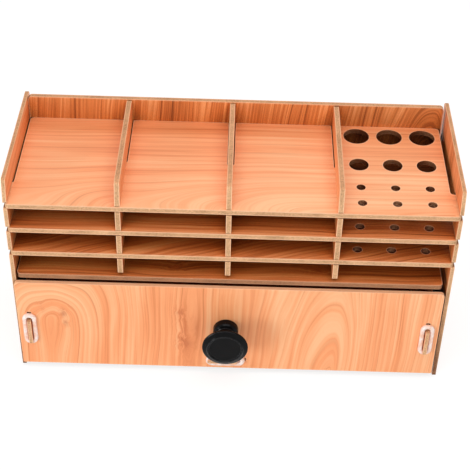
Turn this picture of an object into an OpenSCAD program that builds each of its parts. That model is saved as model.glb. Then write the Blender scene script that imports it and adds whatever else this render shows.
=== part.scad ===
/* [Boards] */
// Thickness of the shelves, dividers, base and back
board_t = 4; // [3.5:0.25:5]
// Thickness of the side panels
side_t = 3; // [2.5:0.25:5]
// Thickness of the drawer's boards
drawer_t = 3; // [2.5:0.25:4]
// Radius on the outer corners of the boards
corner_r = 3; // [1:0.5:4]
// Radius where a slot opens at the edge of a board
mouth_r = 1; // [0.5:0.25:1.5]

/* [Bays] */
// Clear width of each plain bay
bay_w = 78.5; // [60:0.5:120]
// Clear width of the right bay, which has the tool holes
tool_bay_w = 85.5; // [77:0.5:120]
// Clear height of each row of pigeonholes
bay_h = 18.7; // [14:0.1:40]
// Depth of the shelves, from their front edge to the back panel
shelf_d = 113.5; // [105:0.5:160]
// Height of the rim above the top deck
rim_h = 20; // [12:0.5:40]
// How far the rim leans back above the top deck
rim_lean = 4; // [0:0.5:8]

/* [Housing] */
// Height of the drawer bay, from the floor to the underside of its cover
drawer_bay_h = 95.2; // [90:0.1:140]
// How far the side panels stand out behind the back panel
rear_overhang = 5.5; // [5:0.5:20]
// Depth of the ears at the front corners of each shelf
ear_d = 27; // [15:0.5:40]
// Height of the dividers' lower edge above the drawer cover
divider_lift = 2.8; // [0.5:0.1:6]
// Height of the base panel's underside above the floor
base_lift = 6; // [5:0.5:7]
// How far the base panel's front edge lies behind the shelves' front edges
base_setback = 3; // [1:0.5:8]

/* [Fits] */
// Room in the slots and mortises
slot_clear = 0.6; // [0.2:0.1:1]
// Room on each side of a divider in its notch
notch_clear = 0.7; // [0.2:0.1:1]
// Gap between the shelves and the left side panel
left_gap = 1; // [0.2:0.1:2]
// Gap between the shelves and the right side panel
right_gap = 3.6; // [1:0.1:4.5]
// Gap between the back panel and the left side panel
back_left_gap = 0.3; // [0.1:0.1:1]
// Gap between the back panel and the right side panel
back_right_gap = 1.6; // [0.5:0.1:3]
// How far the shelves' ears end inside the outer faces of the side panels
ear_inset = 1; // [0.2:0.1:1.5]
// Running gap between the drawer and the housing
running_gap = 0.3; // [0.2:0.05:0.8]
// Least gap beside the drawer
drawer_clear = 2; // [0.3:0.1:3]
// Gap behind the drawer
rear_clear = 1.4; // [0.5:0.1:8]

/* [Tool holes] */
// Diameter of the large holes
large_hole_d = 20.4; // [14:0.2:22]
// Diameter of the medium holes
medium_hole_d = 15.2; // [8:0.2:20]
// Diameter of the small holes
small_hole_d = 7; // [4:0.2:9]
// Wood left between the outer large holes and the sides of the bay
hole_edge = 4.55; // [2:0.05:8]
// Wood left between the large holes and the rear edge
large_inset = 3.6; // [2:0.1:8]
// Distance from the large row forward to the medium row
medium_drop = 38; // [24:0.5:42]
// Wood left between the small holes and the front edge
small_inset = 10.1; // [4:0.1:12]
// Distance between the two rows of small holes
small_pitch = 19.25; // [12:0.25:22]

/* [Drawer] */
// Height of the drawer front
front_h = 87.4; // [70:0.1:89]
// Height of the drawer front's lower edge above the floor
front_lift = 5.5; // [3:0.1:6]
// How much narrower the drawer front is than the housing, at each side
front_margin = 3; // [0.5:0.1:3.5]
// Sideways place of the drawer
drawer_shift = -1.5; // [-2:0.1:2]
// Height of the drawer's side boards
drawer_side_h = 75.7; // [60:0.1:82]
// Height of the drawer's back board
drawer_back_h = 68; // [58:0.5:80]
// Height of the floor board above the lower edge of the side boards
floor_lift = 3.3; // [2:0.1:8]
// Height of the side tabs above the lower edge of the side boards
tab_lift = 34.5; // [24:0.1:40]
// Length of the tongues that hold the floor board in the side boards
tongue_l = 40; // [20:1:60]

/* [Rings and tabs] */
// Width of a locking ring's bar
ring_bar = 3.5; // [2.5:0.1:4]
// Thickness of a locking ring
ring_t = 2.6; // [2:0.1:4]
// Length of a tab inside its ring
tab_l = 21.3; // [16:0.1:30]
// Free length of a ring beyond its tab
ring_slack = 0.6; // [0.3:0.1:1.2]
// How far the tab's hook reaches over the ring's end
hook = 2.6; // [1:0.1:3]
// Thickness of the hook
hook_t = 1.2; // [0.8:0.1:3]
// Room for the ring under the hook
ring_play = 0.1; // [0.05:0.05:0.3]
// How far a mortise reaches past the ring's end, so that the tab's hook can go through
mortise_over = 1.2; // [0.5:0.1:3]

/* [Knob] */
// Diameter of the knob's head
knob_d = 36; // [26:0.5:42]
// Length of the knob
knob_l = 24.5; // [20:0.5:32]
// Diameter of the knob's collar
collar_d = 20; // [15:0.2:22]
// Height of the knob's collar
collar_h = 6.4; // [3:0.2:8]
// Diameter of the knob's neck
neck_d = 14; // [9:0.2:16]
// Diameter of the dished face of the knob's head
dish_d = 27; // [18:0.2:28]
// Depth of the dish in the knob's head
dish_depth = 1; // [0.5:0.1:2]
// Sideways place of the knob on the drawer front
knob_shift = -2; // [-6:0.5:6]
// Height of the knob above the drawer front's lower edge
knob_lift = 44.5; // [35:0.5:50]
// Diameter of the knob's screw
screw_d = 4; // [3:0.5:5]
// Diameter of the screw's head
screw_head_d = 8.4; // [7:0.2:10]
// Height of the screw's head
screw_head_t = 2.6; // [1.8:0.1:3.4]
// Length of the screw inside the knob
screw_reach = 12; // [6:0.5:14]

/* [Hidden] */
$fn = 32;

// Colours of the wood film, the clear plastic, the black plastic and the steel
film_color = [0.95, 0.63, 0.44];
film_shade_color = [0.86, 0.52, 0.33];
ring_color = [0.95, 0.92, 0.90, 0.7];
knob_color = [0.10, 0.10, 0.11];
screw_color = [0.72, 0.72, 0.74];

// Small radii inside slots, on the rim's front corner, on the feet and on the drawer front
inner_r = 0.5;
rim_r = 2;
foot_r = 1;
notch_r = 2.4;
// Steps in each rounded corner of a board and of the turned knob, and in the smallest corners
corner_steps = 3;
knob_steps = 3;
small_steps = 2;
// Facets around the bend of a locking ring
ring_facets = 18;
// How far a tab's root reaches into its own board
tab_root = 1;

// Widths, measured from the middle between the side panels
inner_w = left_gap + 3 * bay_w + 3 * board_t + tool_bay_w;
body_w = inner_w + 2 * side_t;
inner_left = -inner_w / 2;
inner_right = inner_w / 2;
shelf_left = inner_left + left_gap;
shelf_right = inner_right - right_gap;
ear_left = inner_left - side_t + ear_inset;
ear_right = inner_right + side_t - ear_inset;
back_left = inner_left + back_left_gap;
back_right = inner_right - back_right_gap;
function divider_x(i) = shelf_left + (i + 1) * bay_w + i * board_t;

// Depths, measured from the front edges of the shelves
side_d = shelf_d + board_t + rear_overhang;
lap_y = shelf_d / 2;
ear_slot_d = ear_d + notch_r + slot_clear;
middle_y = shelf_d / 2;

// Heights, measured from the floor: the cover is level 0 and the top deck level 3
function level_z(k) = drawer_bay_h + board_t + k * (bay_h + board_t);
shelf_levels = [3, 2, 1];
top_z = level_z(3) + rim_h;
back_tab_z = (level_z(0) + top_z) / 2;
base_top = base_lift + board_t;

// Locking rings, the tabs that they lock and the mortises for these, by the thickness of the tab's board
function ring_open(t) = t + 2 * ring_slack;
function ring_w(t) = ring_open(t) + 2 * ring_bar;
function tab_seat(t) = floor(10 * sqrt(pow(ring_open(t) / 2, 2) - pow(t / 2, 2)) - 0.5) / 10;
function ring_straight(t) = tab_l + ring_slack - tab_seat(t);
function tab_hook_end(t) = -ring_straight(t) / 2 - tab_seat(t);
function mortise_near(t) = tab_hook_end(t) - slot_clear;
function mortise_far(t) = (ring_straight(t) + ring_w(t)) / 2 + mortise_over;
lock_reach = ring_t + ring_play + hook_t;

// Drawer
drawer_z = base_top + running_gap;
front_w = body_w - 2 * front_margin;
front_inner_y = -running_gap;
front_face_y = front_inner_y - drawer_t;
drawer_end_y = shelf_d - rear_clear - lock_reach;
drawer_back_y = drawer_end_y - drawer_t;
side_x = inner_w / 2 - abs(drawer_shift) - drawer_clear - ring_w(drawer_t) / 2;
drawer_back_w = 2 * side_x + ring_w(drawer_t);
floor_z = drawer_z + floor_lift;
tab_z = drawer_z + tab_lift;
knob_x = drawer_shift + knob_shift;
knob_z = front_lift + knob_lift;
screw_room = 0.4;

// Tool holes: three in a row across the deck's part of the right bay
hole_count = 3;
tool_left = divider_x(2) + board_t;
tool_deck_w = shelf_right - tool_left;
hole_pitch = (tool_deck_w - 2 * hole_edge - large_hole_d) / (hole_count - 1);
hole_x = [for (i = [0 : hole_count - 1]) tool_left + hole_edge + large_hole_d / 2 + i * hole_pitch];
large_row = shelf_d - large_inset - large_hole_d / 2;
medium_row = large_row - medium_drop;
small_rows = [small_inset + small_hole_d / 2, small_inset + small_hole_d / 2 + small_pitch];

// The origin lies on the floor, in the middle of the whole object with its knob
front_reach = running_gap + drawer_t + knob_l;
origin_y = (side_d - front_reach) / 2;

// Outlines: each corner is [x, y, radius]
function unit(v) = v / norm(v);
function flat(p) = [p[0], p[1]];
function arc(centre, radius, start, sweep, steps) =
    [for (k = [0 : steps])
        let (a = start + sweep * k / steps)
        centre + radius * [cos(a), sin(a)]];
function corner(before, at, after, steps) =
    at[2] == 0 ? [flat(at)] :
    let (
        u = unit(flat(before) - flat(at)),
        w = unit(flat(after) - flat(at)),
        half = acos(u * w) / 2,
        centre = flat(at) + unit(u + w) * at[2] / sin(half),
        first = flat(at) + u * at[2] / tan(half) - centre,
        turn = u[0] * w[1] - u[1] * w[0] < 0 ? 1 : -1
    )
    arc(centre, at[2], atan2(first[1], first[0]), turn * (180 - 2 * half), steps);
function rounded(points, steps = corner_steps) =
    let (n = len(points))
    [for (i = [0 : n - 1])
        let (most = points[i][2] > mouth_r ? steps : small_steps)
        each corner(points[(i + n - 1) % n], points[i], points[(i + 1) % n], most)];
function rectangle(x0, y0, x1, y1, r = 0) = [[x0, y0, r], [x1, y0, r], [x1, y1, r], [x0, y1, r]];

// A board laid flat, one standing along the sides, and one standing across
module flat_board(z, t = board_t) {
    translate([0, -origin_y, z]) linear_extrude(t) children();
}
module side_board(x, t = board_t) {
    translate([x, -origin_y, 0]) rotate([90, 0, 90]) linear_extrude(t) children();
}
module cross_board(front_y, t = board_t) {
    translate([0, front_y + t - origin_y, 0]) rotate([90, 0, 0]) linear_extrude(t) children();
}

// A tab that points along +x through a board, with a hook at one end of it
function tab_points(hook_x, end_x, near_end, far_end) = [
    [-tab_root, near_end, 0],
    [hook_x, near_end, 0],
    [hook_x, near_end - hook, 0.4],
    [end_x, near_end - hook, inner_r],
    [end_x, far_end, inner_r],
    [-tab_root, far_end, 0]
];
function flipped(points) = [for (i = [len(points) - 1 : -1 : 0]) [points[i][0], -points[i][1], points[i][2]]];
module tab(t, through, hook_side = -1) {
    hook_x = through + ring_t + ring_play;
    hook_end = tab_hook_end(t);
    points = tab_points(hook_x, hook_x + hook_t, hook_end, hook_end + tab_l);
    polygon(rounded(hook_side < 0 ? points : flipped(points)));
}
module mortise(x0, y0, x1, y1) {
    polygon(rounded(rectangle(x0, y0, x1, y1, slot_clear)));
}
module upright_mortise(x, z, t) {
    half_w = (t + slot_clear) / 2;
    mortise(x - half_w, z + mortise_near(t), x + half_w, z + mortise_far(t));
}
module level_mortise(x, z, t) {
    mortise(x + mortise_near(t), z, x + mortise_far(t), z + t + slot_clear);
}

// A locking ring for a tab of thickness t, lying on z = 0 with its length along y
module ring(t) {
    mid_r = ring_open(t) / 2 + ring_bar / 2;
    straight = ring_straight(t);
    module section() {
        translate([mid_r, 0])
            polygon(rounded([
                [-ring_bar / 2, 0, 0.4], [ring_bar / 2, 0, 0.4],
                [ring_bar / 2, ring_t, 1.2], [-ring_bar / 2, ring_t, 1.2]
            ], small_steps));
    }
    color(ring_color) {
        for (end = [0, 180])
            rotate([0, 0, end])
                translate([0, straight / 2, 0])
                    rotate_extrude(angle = 180, $fn = ring_facets) section();
        for (side = [0, 180])
            rotate([0, 0, side])
                translate([0, straight / 2, 0])
                    rotate([90, 0, 0])
                        linear_extrude(straight) section();
    }
}

// Housing
module side_panel(x) {
    front_slots = [for (k = shelf_levels) each [
        [0, level_z(k) + slot_clear, mouth_r],
        [ear_slot_d, level_z(k) + slot_clear, inner_r],
        [ear_slot_d, level_z(k) - board_t, inner_r],
        [0, level_z(k) - board_t, mouth_r]
    ]];
    color(film_color)
        side_board(x, side_t)
            difference() {
                polygon(rounded(concat([
                    [0, 0, foot_r], [side_d, 0, foot_r],
                    [side_d, top_z, corner_r], [rim_lean, top_z, rim_r]
                ], front_slots)));
                for (z = [drawer_bay_h, base_lift])
                    level_mortise(middle_y, z, board_t);
                upright_mortise(shelf_d + board_t / 2, back_tab_z, board_t);
            }
}
module left_side_panel() {
    side_panel(inner_left - side_t);
}
module right_side_panel() {
    side_panel(inner_right);
}
module back_panel() {
    color(film_shade_color)
        cross_board(shelf_d) {
            polygon(rounded([
                [back_left, 0, foot_r], [back_right, 0, foot_r],
                [back_right, top_z, corner_r], [back_left, top_z, corner_r]
            ]));
            translate([back_left, back_tab_z])
                rotate(180) tab(board_t, side_t + back_left_gap, 1);
            translate([back_right, back_tab_z])
                tab(board_t, side_t + back_right_gap);
        }
}
module plain_shelf(front_y, front_r) {
    polygon(rounded([
        [shelf_left, front_y, front_r], [shelf_right, front_y, front_r],
        [shelf_right, shelf_d, 0], [shelf_left, shelf_d, 0]
    ]));
    translate([shelf_left, middle_y])
        rotate(180) tab(board_t, side_t + left_gap, 1);
    translate([shelf_right, middle_y])
        tab(board_t, side_t + right_gap);
}
module base_panel() {
    color(film_shade_color) flat_board(base_lift) plain_shelf(base_setback, corner_r);
}
module drawer_cover() {
    color(film_color) flat_board(drawer_bay_h) plain_shelf(0, corner_r);
}
module hole_row(y, d) {
    for (x = hole_x)
        translate([x, y]) circle(d = d);
}
module notched_shelf() {
    divider_notches = [for (i = [2, 1, 0]) each [
        [divider_x(i) + board_t + notch_clear, shelf_d, mouth_r],
        [divider_x(i) + board_t + notch_clear, lap_y, inner_r],
        [divider_x(i) - notch_clear, lap_y, inner_r],
        [divider_x(i) - notch_clear, shelf_d, mouth_r]
    ]];
    difference() {
        polygon(rounded(concat([
            [ear_left, 0, corner_r], [ear_right, 0, corner_r],
            [ear_right, ear_d, inner_r], [shelf_right, ear_d, notch_r],
            [shelf_right, shelf_d, corner_r]
        ], divider_notches, [
            [shelf_left, shelf_d, corner_r],
            [shelf_left, ear_d, left_gap - 0.1], [ear_left, ear_d, inner_r]
        ])));
        for (y = small_rows)
            hole_row(y, small_hole_d);
        children();
    }
}
module lower_shelf() {
    color(film_color) flat_board(level_z(1) - board_t) notched_shelf();
}
module upper_shelf() {
    color(film_color) flat_board(level_z(2) - board_t) notched_shelf();
}
module top_deck() {
    color(film_color)
        flat_board(level_z(3) - board_t)
            notched_shelf() {
                hole_row(medium_row, medium_hole_d);
                hole_row(large_row, large_hole_d);
            }
}
module divider(i) {
    slot_end = lap_y + slot_clear;
    front_slots = [for (k = shelf_levels) each [
        [0, level_z(k), mouth_r],
        [slot_end, level_z(k), inner_r],
        [slot_end, level_z(k) - board_t - slot_clear, inner_r],
        [0, level_z(k) - board_t - slot_clear, mouth_r]
    ]];
    color(film_color)
        side_board(divider_x(i))
            polygon(rounded(concat([
                [0, level_z(0) + divider_lift, rim_r], [shelf_d, level_z(0) + divider_lift, 0],
                [shelf_d, top_z, corner_r], [rim_lean, top_z, rim_r]
            ], front_slots)));
}
module divider_left() {
    divider(0);
}
module divider_middle() {
    divider(1);
}
module divider_right() {
    divider(2);
}

// Rings on the outside of the side panels; side is -1 on the left and 1 on the right
module outer_ring(side, y, z, turn) {
    translate([side * body_w / 2, y - origin_y, z])
        rotate([0, side * 90, 0])
            rotate([0, 0, turn]) ring(board_t);
}
module back_ring_left() {
    outer_ring(-1, shelf_d + board_t / 2, back_tab_z, 90);
}
module back_ring_right() {
    outer_ring(1, shelf_d + board_t / 2, back_tab_z, 90);
}
module cover_ring_left() {
    outer_ring(-1, middle_y, drawer_bay_h + board_t / 2, 0);
}
module cover_ring_right() {
    outer_ring(1, middle_y, drawer_bay_h + board_t / 2, 0);
}
module base_ring_left() {
    outer_ring(-1, middle_y, base_lift + board_t / 2, 0);
}
module base_ring_right() {
    outer_ring(1, middle_y, base_lift + board_t / 2, 0);
}

// Drawer
module drawer_front() {
    color(film_color)
        cross_board(front_face_y, drawer_t)
            difference() {
                polygon(rounded([
                    [drawer_shift - front_w / 2, front_lift, foot_r],
                    [drawer_shift + front_w / 2, front_lift, foot_r],
                    [drawer_shift + front_w / 2, front_lift + front_h, corner_r],
                    [drawer_shift - front_w / 2, front_lift + front_h, corner_r]
                ]));
                for (side = [-1, 1])
                    upright_mortise(drawer_shift + side * side_x, tab_z, drawer_t);
                level_mortise(knob_x, floor_z, drawer_t);
                translate([knob_x, knob_z]) circle(d = screw_d + screw_room);
            }
}
module tongue_mortise(place) {
    half_l = tongue_l / 2 + slot_clear;
    mortise(place - half_l, floor_z, place + half_l, floor_z + drawer_t + slot_clear);
}
module drawer_side(side) {
    color(film_color)
        side_board(drawer_shift + side * side_x - drawer_t / 2, drawer_t)
            difference() {
                union() {
                    polygon(rounded([
                        [front_inner_y, drawer_z, 0], [drawer_back_y, drawer_z, 0],
                        [drawer_back_y, drawer_z + drawer_side_h, foot_r],
                        [front_inner_y, drawer_z + drawer_side_h, foot_r]
                    ]));
                    translate([front_inner_y, tab_z])
                        rotate(180) tab(drawer_t, drawer_t, 1);
                    translate([drawer_back_y, tab_z]) tab(drawer_t, drawer_t);
                }
                tongue_mortise(middle_y);
            }
}
module drawer_left_side() {
    drawer_side(-1);
}
module drawer_right_side() {
    drawer_side(1);
}
module drawer_back() {
    half_w = drawer_back_w / 2;
    color(film_color)
        cross_board(drawer_back_y, drawer_t)
            difference() {
                polygon(rounded([
                    [drawer_shift - half_w, drawer_z, foot_r], [drawer_shift + half_w, drawer_z, foot_r],
                    [drawer_shift + half_w, drawer_z + drawer_back_h, corner_r],
                    [drawer_shift - half_w, drawer_z + drawer_back_h, corner_r]
                ]));
                for (side = [-1, 1])
                    upright_mortise(drawer_shift + side * side_x, tab_z, drawer_t);
                tongue_mortise(knob_x);
            }
}
module drawer_floor() {
    half_w = side_x - drawer_t / 2;
    color(film_shade_color)
        flat_board(floor_z, drawer_t) {
            polygon(rounded(rectangle(
                drawer_shift - half_w, front_inner_y, drawer_shift + half_w, drawer_back_y)));
            polygon(rounded(rectangle(
                drawer_shift - half_w - drawer_t, middle_y - tongue_l / 2,
                drawer_shift + half_w + drawer_t, middle_y + tongue_l / 2)));
            polygon(rounded(rectangle(
                knob_x - tongue_l / 2, middle_y, knob_x + tongue_l / 2, drawer_end_y)));
            translate([knob_x, front_inner_y])
                rotate(-90) tab(drawer_t, drawer_t);
        }
}
module front_ring(x, z, turn) {
    translate([x, front_face_y - origin_y, z])
        rotate([90, 0, 0])
            rotate([0, 0, turn]) ring(drawer_t);
}
module rear_ring(x) {
    translate([x, drawer_end_y - origin_y, tab_z])
        rotate([-90, 0, 0]) ring(drawer_t);
}
module front_ring_left() {
    front_ring(drawer_shift - side_x, tab_z, 0);
}
module front_ring_right() {
    front_ring(drawer_shift + side_x, tab_z, 0);
}
module front_ring_floor() {
    front_ring(knob_x, floor_z + drawer_t / 2, 90);
}
module rear_ring_left() {
    rear_ring(drawer_shift - side_x);
}
module rear_ring_right() {
    rear_ring(drawer_shift + side_x);
}
module at_knob() {
    translate([knob_x, front_face_y - origin_y, knob_z])
        rotate([90, 0, 0]) children();
}
module drawer_knob() {
    head_r = knob_d / 2;
    dish_r = dish_d / 2;
    neck_r = neck_d / 2;
    collar_r = collar_d / 2;
    neck_end = collar_h + 3.6;
    rim_z = knob_l - 2.9;
    color(knob_color)
        at_knob()
            difference() {
                rotate_extrude()
                    polygon(rounded([
                        [0, 0, 0], [collar_r, 0, 0.8],
                        [collar_r, collar_h, 3.2], [neck_r, collar_h + 1.2, 1],
                        [neck_r, neck_end, 3], [head_r, rim_z - 0.7, 1],
                        [head_r, rim_z + 0.7, 0.9], [dish_r + 1.1, knob_l - 0.7, 0.8],
                        [dish_r + 0.5, knob_l, 0.3], [dish_r - 0.5, knob_l, 0.3],
                        [dish_r - 1, knob_l - dish_depth, 0.4], [0, knob_l - dish_depth, 0]
                    ], knob_steps));
                translate([0, 0, -1])
                    cylinder(d = screw_d, h = screw_reach + 2);
            }
}
module knob_screw() {
    shank_d = screw_d - 0.1;
    color(screw_color)
        at_knob() {
            translate([0, 0, -drawer_t - screw_head_t])
                cylinder(d1 = screw_head_d - 1.6, d2 = screw_head_d, h = screw_head_t);
            translate([0, 0, -drawer_t - screw_head_t / 2])
                cylinder(d = shank_d, h = drawer_t + screw_head_t / 2 + screw_reach);
        }
}

left_side_panel();
right_side_panel();
back_panel();
base_panel();
drawer_cover();
lower_shelf();
upper_shelf();
top_deck();
divider_left();
divider_middle();
divider_right();
back_ring_left();
back_ring_right();
cover_ring_left();
cover_ring_right();
base_ring_left();
base_ring_right();
drawer_front();
drawer_left_side();
drawer_right_side();
drawer_back();
drawer_floor();
front_ring_left();
front_ring_right();
front_ring_floor();
rear_ring_left();
rear_ring_right();
drawer_knob();
knob_screw();
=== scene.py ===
import math
from collections import namedtuple

import bpy
from mathutils import Matrix, Vector


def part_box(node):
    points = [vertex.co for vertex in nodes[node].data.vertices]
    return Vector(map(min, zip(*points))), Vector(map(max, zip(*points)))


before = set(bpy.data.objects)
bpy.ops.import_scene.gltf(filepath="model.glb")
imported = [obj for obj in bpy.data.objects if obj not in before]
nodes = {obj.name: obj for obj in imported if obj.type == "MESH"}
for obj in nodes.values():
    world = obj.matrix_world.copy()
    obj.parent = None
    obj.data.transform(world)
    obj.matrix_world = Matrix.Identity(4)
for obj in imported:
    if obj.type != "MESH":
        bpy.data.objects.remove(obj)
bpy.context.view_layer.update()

MM = 0.001
AXES = "xyz"
SHELF_FRONT_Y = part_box("top_deck")[0][1]
FRONT_LINE = SHELF_FRONT_Y / MM


def srgb(r, g, b):
    """A colour given in 0 to 255 display values, as linear values with alpha."""
    def linear(c):
        c /= 255
        return c / 12.92 if c <= 0.04045 else ((c + 0.055) / 1.055) ** 2.4
    return (linear(r), linear(g), linear(b), 1)


def grey(value):
    """A grey of that linear value, with alpha."""
    return (value, value, value, 1)


def extent(node, axis):
    """The lowest and the highest place of a node on that axis, in metres."""
    return [corner[AXES.index(axis)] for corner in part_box(node)]


class Graph:
    """Short names for the nodes and links of one material or world."""

    def __init__(self, owner, output="ShaderNodeOutputMaterial"):
        owner.use_nodes = True
        self.owner = owner
        self.tree = owner.node_tree
        self.tree.nodes.clear()
        self.output = self.tree.nodes.new(output)

    def node(self, kind, **settings):
        made = self.tree.nodes.new(kind)
        for key, value in settings.items():
            setattr(made, key, value)
        return made

    def feed(self, socket, value):
        if isinstance(value, bpy.types.NodeSocket):
            self.tree.links.new(value, socket)
        else:
            socket.default_value = value

    def join(self, kind, *values, **settings):
        """A node with its inputs fed in their order, apart from those given as None."""
        made = self.node(kind, **settings)
        for socket, value in zip(made.inputs, values):
            if value is not None:
                self.feed(socket, value)
        return made

    def shader(self, kind, **sockets):
        """A shader node with its inputs fed by name."""
        made = self.node(kind)
        for key, value in sockets.items():
            self.feed(made.inputs[key.replace("_", " ")], value)
        return made.outputs[0]

    def finish(self, shader):
        """The material or world, with this shader as its surface."""
        self.feed(self.output.inputs["Surface"], shader)
        return self.owner

    def math(self, operation, a, b=None, c=None, clamp=False):
        return self.join("ShaderNodeMath", a, b, c, operation=operation, use_clamp=clamp).outputs[0]

    def add(self, *values):
        total = values[0]
        for value in values[1:]:
            total = self.math("ADD", total, value)
        return total

    def times(self, *values):
        total = values[0]
        for value in values[1:]:
            total = self.math("MULTIPLY", total, value)
        return total

    def about_zero(self, noise, size):
        """Noise moved from about one half to about zero, times the size."""
        return self.times(self.add(noise, -0.5), size)

    def vector(self, x, y, z):
        return self.join("ShaderNodeCombineXYZ", x, y, z).outputs[0]

    def split(self, vector):
        return list(self.join("ShaderNodeSeparateXYZ", vector).outputs)

    def place(self):
        """Where a point lies on its own piece, in metres."""
        return self.node("ShaderNodeTexCoord").outputs["Object"]

    def normal(self):
        return self.node("ShaderNodeNewGeometry").outputs["Normal"]

    def noise(self, vector, scale=1.0, detail=2.0, roughness=0.5, distortion=0.0):
        made = self.node("ShaderNodeTexNoise", noise_dimensions="3D")
        self.feed(made.inputs["Vector"], vector)
        made.inputs["Scale"].default_value = scale
        made.inputs["Detail"].default_value = detail
        made.inputs["Roughness"].default_value = roughness
        made.inputs["Distortion"].default_value = distortion
        return made.outputs["Fac"]

    def ramp(self, factor, *stops, interpolation="LINEAR"):
        """Stops are (position, colour) or (position, grey value)."""
        made = self.join("ShaderNodeValToRGB", factor)
        made.color_ramp.interpolation = interpolation
        elements = made.color_ramp.elements
        while len(elements) < len(stops):
            elements.new(0.5)
        for element, (position, value) in zip(elements, stops):
            element.position = position
            element.color = value if isinstance(value, tuple) else grey(value)
        return made.outputs[0]

    def mix(self, factor, a, b, blend="MIX"):
        made = self.node("ShaderNodeMix", data_type="RGBA", blend_type=blend)
        self.feed(made.inputs["Factor"], factor)
        self.feed(made.inputs[6], a)
        self.feed(made.inputs[7], b)
        return made.outputs[2]

    def tint(self, color, by):
        """A colour multiplied by another."""
        return self.mix(1.0, color, by, "MULTIPLY")

    def span(self, value, low, high, to_low=0.0, to_high=1.0):
        """Goes smoothly from to_low to to_high while the value goes from low to high."""
        made = self.join(
            "ShaderNodeMapRange", value, low, high, to_low, to_high, interpolation_type="SMOOTHSTEP")
        return made.outputs[0]

    def openness(self, distance):
        """How open a place is: 0 deep in a hollow, 1 on a free face."""
        made = self.node("ShaderNodeAmbientOcclusion", samples=6)
        made.inputs["Distance"].default_value = distance
        return made.outputs["AO"]

    def rim(self, radius):
        """1 along the edges of a solid, falling to 0 at that distance from them."""
        rounded = self.join("ShaderNodeBevel", radius, samples=4).outputs[0]
        same = self.join("ShaderNodeVectorMath", rounded, self.normal(), operation="DOT_PRODUCT")
        return self.span(same.outputs["Value"], 0.99, 0.86)

    def bump(self, height, strength, distance):
        return self.shader("ShaderNodeBump", Strength=strength, Distance=distance, Height=height)

    def background_rays(self):
        """1 for rays that show the background: from the camera, mirrored or through something clear."""
        path = self.node("ShaderNodeLightPath").outputs
        seen = self.math("MAXIMUM", path["Is Camera Ray"], path["Is Glossy Ray"])
        return self.math("MAXIMUM", seen, path["Is Transmission Ray"])


# Colours of the wood film, from light to dark, and of the fibreboard core
BLOND = (srgb(252, 190, 140), srgb(247, 161, 107), srgb(222, 130, 77), srgb(160, 92, 46))
# The brown palette is partly a browner print and partly painted shade
BROWN_PRINT_AND_SHADE = (srgb(240, 170, 114), srgb(218, 136, 78), srgb(190, 110, 59), srgb(134, 74, 38))
PALETTE_STOPS = (0.0, 0.35, 0.7, 1.0)
BASE_TONE = 0.2
LINE = srgb(198, 107, 57)
STAIN = srgb(190, 98, 56)
# Painted highlight: a paler line along the film's edges, its width and its share
FILM_EDGE_PAINTED_HIGHLIGHT = srgb(252, 204, 164)
PAINTED_HIGHLIGHT_WIDTH = 1.5 * MM
PAINTED_HIGHLIGHT_SHARE = 0.8
CORE_LIGHT = srgb(236, 186, 140)
CORE_DARK = srgb(158, 116, 78)
CORE_RIM = srgb(249, 200, 158)
# Painted shade on the core's edges that face up, darker and warmer
CORE_TOP_PAINTED_SHADE = srgb(250, 235, 228)
# Painted shade on the core's edges where it is given as the cut tint
CORE_EDGE_PAINTED_SHADE = srgb(200, 183, 176)
CLEAN = srgb(255, 255, 255)

# Painted shade: tints by how open a place is to its surroundings within the reach, darkening recesses where
# shade falls
PAINTED_SHADE_REACH = 80 * MM
FILM_PAINTED_SHADE = (
    (0.0, srgb(64, 50, 22)),
    (0.03, srgb(120, 98, 46)),
    (0.1, srgb(170, 149, 88)),
    (0.3, srgb(248, 225, 168)),
    (0.45, CLEAN))
CORE_PAINTED_SHADE = ((0.0, srgb(46, 25, 8)), (0.45, srgb(134, 92, 52)), (0.75, CLEAN))

# Shade and dark line over the width of one growth ring
RING_BAND = ((0.0, 0.35), (0.08, 0.0), (0.5, 0.2), (0.9, 0.85), (1.0, 0.35))
RING_LINE = ((0.84, 0.0), (0.92, 1.0), (0.985, 0.0))

# Lengths in mm: how far from its axis a nest of arches flattens, how softly two nests meet,
# and where along the grain the sweeps become shallower, down to a share of their depth
NEST_FLANK = 60.0
NEST_BLEND = 18.0
SWEEP_FALL = (-20.0, 60.0)
SWEEP_SHARE = 0.35

Arch = namedtuple("Arch", "across along depth slope lean tilt start", defaults=(0.0,) * 5)
Sweep = namedtuple("Sweep", "across start pitch depth")
Knot = namedtuple("Knot", "across along radius push dark")
Stain = namedtuple("Stain", "across along width length strength")


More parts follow.
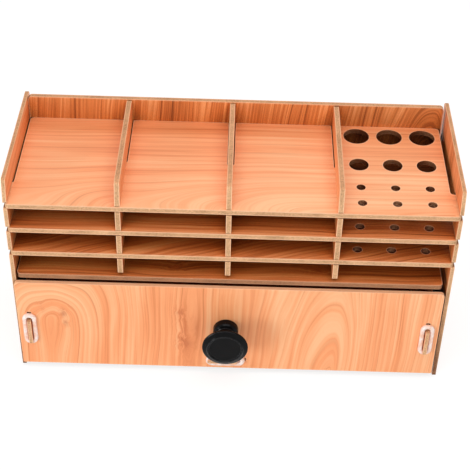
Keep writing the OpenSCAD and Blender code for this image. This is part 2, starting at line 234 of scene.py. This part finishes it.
def wood_board(
        node, thick, along, seed, arches=(), sweep=None, knots=(), stains=(), spacing=5.0, tone=0.0,
        contrast=1.0, lines=0.35, fine=1.0, sway=(16.0, 0.01), painted_light_slope=0.0, painted_shade_range=(0.0, 0.5), pale=0.0,
        palette=BLOND, cut=CLEAN, reverse=None):
    """Printed wood film on both faces of a board and bare fibreboard on its edges.

    thick and along name the axes of the board's thickness and of its grain. Lengths are in mm.
    An arch is a nest of arches: the place of its outer tip in the board's plane, how deep the log's
    heart lies under it, how fast the heart sinks along the grain, how much one flank is steeper, how
    much the nest's axis leans, and its innermost ring. A sweep bends the grain towards a line once in
    every pitch. A knot pushes the grain aside and darkens it, and a stain only darkens it.
    spacing is the width of a growth ring, lines the strength of its dark line, fine how narrow the
    streaks are, and sway the size and the frequency of slow bends. A higher tone is darker, and the fade
    paints a slope of light across the grain: it makes the board's low side lighter, and darker where it is
    negative. The film carries painted shade where the openness falls within the range of painted shade,
    and the core carries painted shade in its recesses. pale is the share of the film's cut line in the
    core's colour, and cut is a tint of painted shade on the core. Where the face towards +thick differs
    from the other, reverse is its palette, its contrast as a share of the other's, and its tone.
    """
    g = Graph(bpy.data.materials.new(node + "_film"))
    across = next(a for a in AXES if a not in (thick, along))
    place = g.place()
    axis = dict(zip(AXES, g.split(place)))
    normal = dict(zip(AXES, g.split(g.normal())))
    u = g.times(axis[across], 1 / MM)
    v = g.times(axis[along], 1 / MM)

    def grain(x, x_scale, v_scale, shift, **settings):
        """Noise that is drawn out along the grain."""
        return g.noise(g.vector(g.times(x, x_scale), g.times(v, v_scale), seed + shift), **settings)

    # Growth rings: arches, a sweep or straight lines, bent by slow noise and by knots
    field = None
    for arch in arches:
        dv = g.add(v, -arch.along)
        du = g.add(u, -arch.across, g.times(dv, -arch.tilt))
        du = g.add(du, g.times(g.math("ABSOLUTE", du), arch.lean))
        heart = g.math("MAXIMUM", g.add(g.times(dv, arch.slope), arch.depth), 0.0)
        heart = g.math("DIVIDE", heart, g.add(g.times(du, du, 1 / NEST_FLANK ** 2), 1.0))
        reach = g.add(g.math("SQRT", g.add(g.times(du, du), g.times(heart, heart))), arch.start)
        field = reach if field is None else g.math("SMOOTH_MIN", field, reach, NEST_BLEND)
    if sweep:
        du = g.add(u, -sweep.across)
        wave = g.math("FRACT", g.times(g.add(v, -sweep.start), 1 / sweep.pitch))
        wave = g.add(1.0, g.times(g.math("POWER", wave, 2.5), -1.0))
        heart = g.times(wave, g.span(v, *SWEEP_FALL, sweep.depth, sweep.depth * SWEEP_SHARE))
        field = g.math("POWER", g.add(g.math("POWER", du, 3.0), g.math("POWER", heart, 3.0)), 1 / 3)
    if field is None:
        field = u
    sway_size, sway_scale = sway
    slow = grain(u, 0.028, sway_scale, 0.0, detail=1)
    field = g.add(field, g.about_zero(slow, sway_size))
    mark = 0.0
    crinkle = grain(u, 0.2, 0.11, 2.3, detail=2, distortion=0.6)
    for knot in knots:
        du = g.add(u, -knot.across)
        dv = g.add(v, -knot.along)
        far = g.times(g.add(g.times(du, du), g.times(dv, dv, 0.4)), 1 / knot.radius ** 2)
        near = g.math("EXPONENT", g.times(far, -1.0))
        push = g.add(knot.push, g.about_zero(crinkle, 8.0 * knot.dark))
        field = g.add(field, g.times(near, push))
        spot = g.math("EXPONENT", g.times(far, -3.0))
        mark = g.add(g.times(spot, g.span(crinkle, 0.35, 0.65, 0.1 * knot.dark, 0.8 * knot.dark)), mark)
    spread = g.noise(g.vector(g.times(field, 0.11), seed, 0.0), detail=2)
    turn = g.times(g.add(field, g.about_zero(spread, 10.0)), 1 / spacing)
    phase = g.math("FRACT", turn)
    ring = g.math("FLOOR", turn)
    band = g.ramp(phase, *RING_BAND, interpolation="EASE")
    weight = grain(ring, 0.61, 0.004, 6.3, detail=1)
    band = g.times(band, g.span(weight, 0.3, 0.7, 0.3, 1.3))
    line = g.ramp(phase, *RING_LINE, interpolation="EASE")
    strength = grain(ring, 0.83, 0.008, 4.4, detail=1)
    line = g.times(line, g.span(strength, 0.42, 0.72, 0.1, 1.0))

    # Fibres along the grain, narrow and broad streaks, slow changes of tone, and pores
    fibre = grain(field, 1.1, 0.014, 3.7, detail=3, roughness=0.65)
    streak = grain(field, 0.34 * fine, 0.006, 8.1, detail=2, roughness=0.6)
    broad = grain(field, 0.085 * fine, 0.004, 9.6, detail=1)
    cloud = grain(u, 0.02, 0.009, 5.2, detail=2)
    pore = grain(u, 1.7, 0.09, 1.9, detail=1)
    shade = g.add(
        g.times(band, 0.2 * contrast),
        g.about_zero(streak, 0.9 * contrast),
        g.about_zero(broad, 0.7 * contrast),
        g.about_zero(fibre, 0.6 * contrast),
        g.about_zero(cloud, 0.4),
        BASE_TONE + tone)
    # Painted light: the film is lighter on the board's low side across the grain
    if painted_light_slope:
        near, far = extent(node, across)
        shade = g.add(shade, g.span(u, near / MM, far / MM, -painted_light_slope, painted_light_slope * 0.3))
    film = g.ramp(shade, *zip(PALETTE_STOPS, palette))
    if reverse:
        other, share, other_tone = reverse
        calmer = g.math("MULTIPLY_ADD", g.add(shade, -BASE_TONE - tone), share, BASE_TONE + other_tone)
        other_film = g.ramp(calmer, *zip(PALETTE_STOPS, other))
        film = g.mix(g.span(normal[thick], -0.5, 0.5), film, other_film)
    film = g.mix(g.times(line, lines), film, LINE)
    film = g.mix(g.span(pore, 0.64, 0.78, 0.0, 0.15), film, LINE)
    for stain in stains:
        du = g.times(g.add(u, -stain.across), 1 / stain.width)
        dv = g.times(g.add(v, -stain.along), 1 / stain.length)
        spot = g.math("EXPONENT", g.times(g.add(g.times(du, du), g.times(dv, dv)), -1.0))
        mark = g.add(g.times(spot, stain.strength, g.span(fibre, 0.3, 0.65, 0.35, 1.0)), mark)
    if knots or stains:
        film = g.mix(g.math("MINIMUM", g.times(mark, 0.5), 0.6), film, STAIN)

    # Bare core on the edges, with the film's cut line along both borders and painted shade on the side that
    # faces up
    edge = g.span(g.math("ABSOLUTE", normal[thick]), 0.92, 0.75)
    low, high = extent(node, thick)
    depth = g.times(g.add(axis[thick], -low), 1 / (high - low))
    border = g.math("ABSOLUTE", g.add(depth, -0.5))
    grit = g.noise(place, scale=800.0, detail=3, roughness=0.75)
    scorch = g.noise(place, scale=60.0, detail=3)
    speckle = g.add(g.times(grit, 1.3), g.times(scorch, 0.7), -0.5)
    core = g.ramp(speckle, (0.15, CORE_DARK), (0.8, CORE_LIGHT))
    core = g.mix(g.span(border, 0.28, 0.44, pale, 0.8), core, CORE_RIM)
    # Painted shade: edges facing up are tinted darker and warmer
    core = g.mix(g.span(normal["z"], 0.3, 0.8), core, g.tint(core, CORE_TOP_PAINTED_SHADE))
    # Painted shade: the cut tint darkens the core
    core = g.tint(core, cut)

    # Painted shade: film and core are darkened in the recesses by how open they are, and a painted
    # highlight makes the film paler along its edges
    if painted_shade_range:
        closed, free = painted_shade_range
        open_air = g.openness(PAINTED_SHADE_REACH)
        slope = 0.5 / (free - closed)
        sheltered = g.math("MULTIPLY_ADD", g.add(open_air, -closed), slope, 0.0, clamp=True)
        # Painted shade: the film and the core darken where the place is closed in
        film = g.tint(film, g.ramp(sheltered, *FILM_PAINTED_SHADE))
        core = g.tint(core, g.ramp(open_air, *CORE_PAINTED_SHADE))
    # Painted highlight along the film's edges
    film = g.mix(g.times(g.rim(PAINTED_HIGHLIGHT_WIDTH), PAINTED_HIGHLIGHT_SHARE), film, FILM_EDGE_PAINTED_HIGHLIGHT)
    color = g.mix(edge, film, core)

    rough = g.add(g.times(fibre, 0.14), g.times(edge, 0.3), 0.36)
    relief = g.add(g.times(fibre, 0.5), g.times(line, -0.3), g.times(pore, -0.3))
    height = g.add(g.times(relief, g.add(1.0, g.times(edge, -1.0))), g.times(grit, edge, 1.6))
    return g.finish(g.shader(
        "ShaderNodeBsdfPrincipled", Base_Color=color, Roughness=rough, Specular_IOR_Level=0.35,
        Normal=g.bump(height, 0.3, 0.2 * MM)))


def clear_plastic(name, seed):
    """Clear, slightly milky plastic with faint flow marks and a warm tint of painted show-through of the
    wood behind it.
    """
    g = Graph(bpy.data.materials.new(name))
    place = g.place()
    milk_and_show_through = g.noise(place, scale=130.0 + seed, detail=2)
    flow = g.noise(place, scale=900.0, detail=2)
    # Painted show-through: the warm tint stands in for the wood seen through the plastic
    color = g.ramp(
        milk_and_show_through, (0.36, srgb(255, 242, 236)), (0.5, srgb(251, 223, 209)), (0.66, srgb(247, 199, 171)))
    return g.finish(g.shader(
        "ShaderNodeBsdfPrincipled", Base_Color=color, Roughness=g.add(g.times(milk_and_show_through, 0.1), 0.06),
        IOR=1.47, Transmission_Weight=0.06, Specular_IOR_Level=0.7,
        Normal=g.bump(flow, 0.08, 0.2 * MM)))


def black_plastic(name):
    """Black plastic with a fine grain and a painted highlight along its edges."""
    g = Graph(bpy.data.materials.new(name))
    place = g.place()
    cloud = g.noise(place, scale=160.0, detail=3)
    grain = g.noise(place, scale=2200.0, detail=2)
    color = g.ramp(cloud, (0.3, srgb(6, 6, 7)), (0.7, srgb(12, 12, 13)))
    # Painted highlight: the edges are painted pale grey
    color = g.mix(g.times(g.rim(0.7 * MM), 0.8), color, srgb(92, 93, 96))
    return g.finish(g.shader(
        "ShaderNodeBsdfPrincipled", Base_Color=color, Roughness=g.add(g.times(cloud, 0.08), 0.08),
        Specular_IOR_Level=0.1, Normal=g.bump(grain, 0.06, 0.2 * MM)))


def zinc_steel(name):
    """Zinc-plated steel with fine marks."""
    g = Graph(bpy.data.materials.new(name))
    place = g.place()
    x, y, z = g.split(place)
    spangle = g.noise(place, scale=700.0, detail=3)
    turning = g.noise(g.vector(x, g.times(y, 8.0), z), scale=600.0)
    color = g.ramp(spangle, (0.3, srgb(196, 198, 204)), (0.7, srgb(228, 229, 232)))
    return g.finish(g.shader(
        "ShaderNodeBsdfPrincipled", Base_Color=color, Metallic=1.0,
        Roughness=g.add(g.times(turning, 0.2), 0.22), Normal=g.bump(turning, 0.1, 0.1 * MM)))


def dress(node, material):
    mesh = nodes[node].data
    mesh.materials.clear()
    mesh.materials.append(material)


# The figure in each board's film, with its painted shade and painted light
# Painted sheen: the deck's film is lighter towards its front
dress("top_deck", wood_board(
    "top_deck", "z", "x", 11.0,
    sweep=Sweep(across=FRONT_LINE - 4.0, start=-166.0, pitch=82.5, depth=32.0),
    spacing=6.0, tone=0.09, contrast=0.75, lines=0.42, sway=(7.0, 0.006), painted_light_slope=0.15, painted_shade_range=(0.0, 0.38)))
# The shelves and the drawer cover have darker tones: partly their print, partly painted shade
dress("upper_shelf", wood_board("upper_shelf", "z", "x", 23.0, spacing=6.0, tone=0.25, contrast=1.6))
dress("lower_shelf", wood_board(
    "lower_shelf", "z", "x", 37.0, arches=[Arch(across=-300.0, along=0.0, tilt=0.36)],
    spacing=4.5, tone=0.3, contrast=1.2, fine=1.4, painted_shade_range=(0.0, 0.54)))
dress("drawer_cover", wood_board(
    "drawer_cover", "z", "x", 41.0,
    knots=[Knot(across=FRONT_LINE + 14.0, along=x, radius=6.0, push=3.0, dark=2.2) for x in (-42.5, 67.5)],
    spacing=6.0, tone=0.32, contrast=1.6, painted_shade_range=(0.0, 0.66), cut=CORE_EDGE_PAINTED_SHADE))
dress("base_panel", wood_board("base_panel", "z", "x", 53.0, spacing=6.0, tone=0.2, cut=CORE_EDGE_PAINTED_SHADE))
dress("drawer_floor", wood_board("drawer_floor", "z", "x", 59.0, spacing=6.0, tone=0.2, painted_shade_range=None))
# The right panel's inner face is darker than its outer face: partly its print, partly painted shade
dress("right_side_panel", wood_board(
    "right_side_panel", "x", "z", 71.0,
    spacing=3.2, tone=0.24, contrast=1.6, fine=1.2, painted_shade_range=(0.05, 0.5), reverse=(BLOND, 0.6, 0.1)))
for node, seed in (
    ("left_side_panel", 67.0),
    ("divider_left", 73.0),
    ("divider_middle", 79.0),
    ("divider_right", 83.0),
):
    dress(node, wood_board(node, "x", "y", seed, tone=0.1, painted_shade_range=(0.05, 0.5)))
for node, seed in (("drawer_left_side", 89.0), ("drawer_right_side", 97.0)):
    dress(node, wood_board(node, "x", "y", seed, tone=0.1, painted_shade_range=None))
# The back panel's inner face is browner than its outer face: partly its print, partly painted shade
dress("back_panel", wood_board(
    "back_panel", "y", "z", 101.0,
    arches=[Arch(across=158.0, along=185.0, depth=14.0, slope=0.3, lean=0.25, tilt=0.1)],
    spacing=2.8, tone=0.13, contrast=1.7, lines=0.24, fine=1.8, sway=(7.0, 0.009), painted_shade_range=(0.2, 0.42),
    palette=BROWN_PRINT_AND_SHADE, reverse=(BLOND, 0.55, 0.1)))
dress("drawer_back", wood_board("drawer_back", "y", "z", 103.0, painted_shade_range=None))
# Painted shade: the drawer front's film is darker towards its left
dress("drawer_front", wood_board(
    "drawer_front", "y", "z", 107.0,
    arches=[
        Arch(across=85.0, along=87.5, depth=19.2, slope=0.2, lean=0.36, tilt=0.04, start=36.8),
        Arch(across=-142.0, along=86.0, depth=29.0, slope=0.95, tilt=0.04)],
    knots=[
        Knot(across=-124.0, along=46.0, radius=20.0, push=-7.0, dark=0.0),
        Knot(across=-132.0, along=61.0, radius=5.0, push=1.5, dark=1.9),
        Knot(across=-131.0, along=50.0, radius=4.0, push=1.0, dark=1.0),
        Knot(across=-149.0, along=66.0, radius=6.0, push=3.0, dark=0.5),
        Knot(across=-37.0, along=33.0, radius=8.5, push=2.0, dark=1.9),
        Knot(across=-40.0, along=65.0, radius=6.0, push=1.2, dark=1.3)],
    stains=[
        Stain(across=-27.0, along=50.0, width=1.6, length=10.0, strength=0.5),
        Stain(across=-36.0, along=48.0, width=2.0, length=16.0, strength=0.6),
        Stain(across=-34.0, along=32.0, width=4.0, length=5.0, strength=0.7),
        Stain(across=-132.0, along=61.0, width=2.4, length=3.2, strength=1.1),
        Stain(across=-131.0, along=50.0, width=1.8, length=4.0, strength=0.5)],
    spacing=4.6, tone=-0.05, contrast=0.9, lines=0.48, sway=(9.0, 0.01), painted_light_slope=-0.06, painted_shade_range=None, pale=0.7))
for index, ring in enumerate(sorted(n for n in nodes if "_ring_" in n)):
    dress(ring, clear_plastic(ring + "_plastic", 7.0 * index))
dress("drawer_knob", black_plastic("knob_plastic"))
dress("knob_screw", zinc_steel("screw_zinc"))

# Camera at the photograph's viewpoint: its lens, its turns in degrees about X, Y and Z,
# and its place in mm from the middle of the shelves' front line on the ground
LENS_PX = 1217.47
FRAME_PX = 470
SENSOR_MM = 36
VIEW_TURNS = {"X": -39.77, "Y": -1.64, "Z": 0.19}
VIEW_PLACE = (4.96, -700.39, 727.13)
camera = bpy.data.cameras.new("camera")
camera.sensor_width = SENSOR_MM
camera.lens = LENS_PX / FRAME_PX * SENSOR_MM
camera.clip_start = 0.01
camera.clip_end = 20
camera_object = bpy.data.objects.new("camera", camera)
bpy.context.scene.collection.objects.link(camera_object)
view = Matrix.Identity(3)
for name, degrees in VIEW_TURNS.items():
    view = view @ Matrix.Rotation(math.radians(degrees), 3, name)
right, ahead, up = view.col
pose = Matrix((right, up, -ahead)).transposed().to_4x4()
pose.translation = Vector(VIEW_PLACE) * MM + Vector((0, SHELF_FRONT_Y, 0))
camera_object.matrix_world = pose
bpy.context.scene.camera = camera_object

# Pale floor: its grey in the light that it gives the object, and what is seen of it,
# which is a darker grey with the object's shadow and a glow that makes the rest white
FLOOR_SIZE = 12
FLOOR_GREY = 0.86
FLOOR_SEEN_GREY = 0.32
FLOOR_GLOW = 0.77
bpy.ops.mesh.primitive_plane_add(size=FLOOR_SIZE, location=(0, 0, 0))
floor = bpy.context.object
floor.name = "floor"
g = Graph(bpy.data.materials.new("floor_white"))
seen = g.background_rays()
paper = g.shader("ShaderNodeBsdfDiffuse", Color=g.mix(seen, grey(FLOOR_GREY), grey(FLOOR_SEEN_GREY)))
glow = g.shader("ShaderNodeEmission", Strength=g.times(seen, FLOOR_GLOW))
floor.data.materials.append(g.finish(g.join("ShaderNodeAddShader", paper, glow).outputs[0]))

# Pale surround, which is brighter to look at than as a light
SKY_LIGHT = 0.62
SKY_SEEN = 1.0
world = bpy.data.worlds.new("studio")
bpy.context.scene.world = world
g = Graph(world, "ShaderNodeOutputWorld")
sky = g.shader("ShaderNodeBackground", Strength=SKY_LIGHT)
seen_sky = g.shader("ShaderNodeBackground", Strength=SKY_SEEN)
g.finish(g.join("ShaderNodeMixShader", g.background_rays(), sky, seen_sky).outputs[0])


def softbox(name, place, aim, size, watts):
    """A soft rectangular lamp at a place, turned towards its aim."""
    lamp = bpy.data.lights.new(name, "AREA")
    lamp.shape = "RECTANGLE"
    lamp.size, lamp.size_y = size
    lamp.energy = watts
    made = bpy.data.objects.new(name, lamp)
    bpy.context.scene.collection.objects.link(made)
    made.visible_camera = False
    made.location = place
    made.rotation_euler = (Vector(aim) - Vector(place)).to_track_quat("-Z", "Y").to_euler()


softbox("key", place=(0.04, -0.28, 0.85), aim=(0, 0, 0.1), size=(0.8, 0.4), watts=2.38)
softbox("back", place=(0.1, 0.75, 1.0), aim=(0, 0, 0.17), size=(1.2, 0.3), watts=2.4)
softbox("front", place=(0.05, -0.9, 0.5), aim=(0, 0, 0.08), size=(1.0, 0.3), watts=1.7)
softbox("side", place=(-1.81, -1.59, 0.47), aim=(0, -0.07, 0.05), size=(0.8, 0.8), watts=18.0)

bpy.context.scene.view_settings.view_transform = "Standard"
